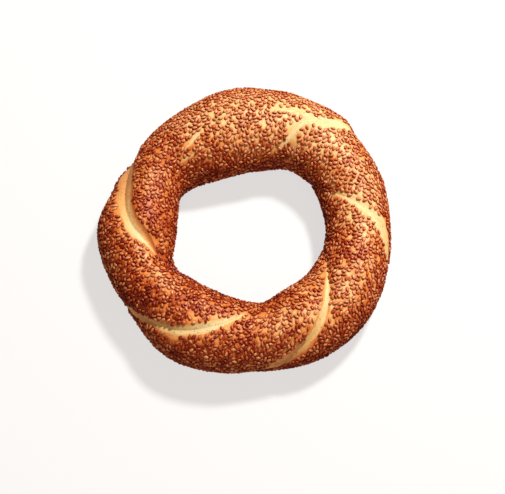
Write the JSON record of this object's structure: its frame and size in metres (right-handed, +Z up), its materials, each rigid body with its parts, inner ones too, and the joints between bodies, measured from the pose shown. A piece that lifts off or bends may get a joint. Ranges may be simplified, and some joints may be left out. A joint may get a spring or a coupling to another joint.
{
  "type": "simit",
  "caption": "Ring of bread made of two twisted strands of dough, crusted all over with toasted sesame, with bare pale seams.",
  "frame": {"origin": "middle of the ring's box, on the plane that its flat baked underside rests on", "axes": "+Z up through the hole; +X and +Y across the ring, +X the way that the picture shows as right"},
  "size_m": [0.1564, 0.1596, 0.037],
  "materials": {
    "crust": "satin baked crust, golden to red-brown, and cream where the seams are bare of seeds",
    "sesame": "glossy toasted sesame seeds, red-brown to peach"
  },
  "bodies": {
    "root": {"bread": "crust"}
  },
  "joints": []
}
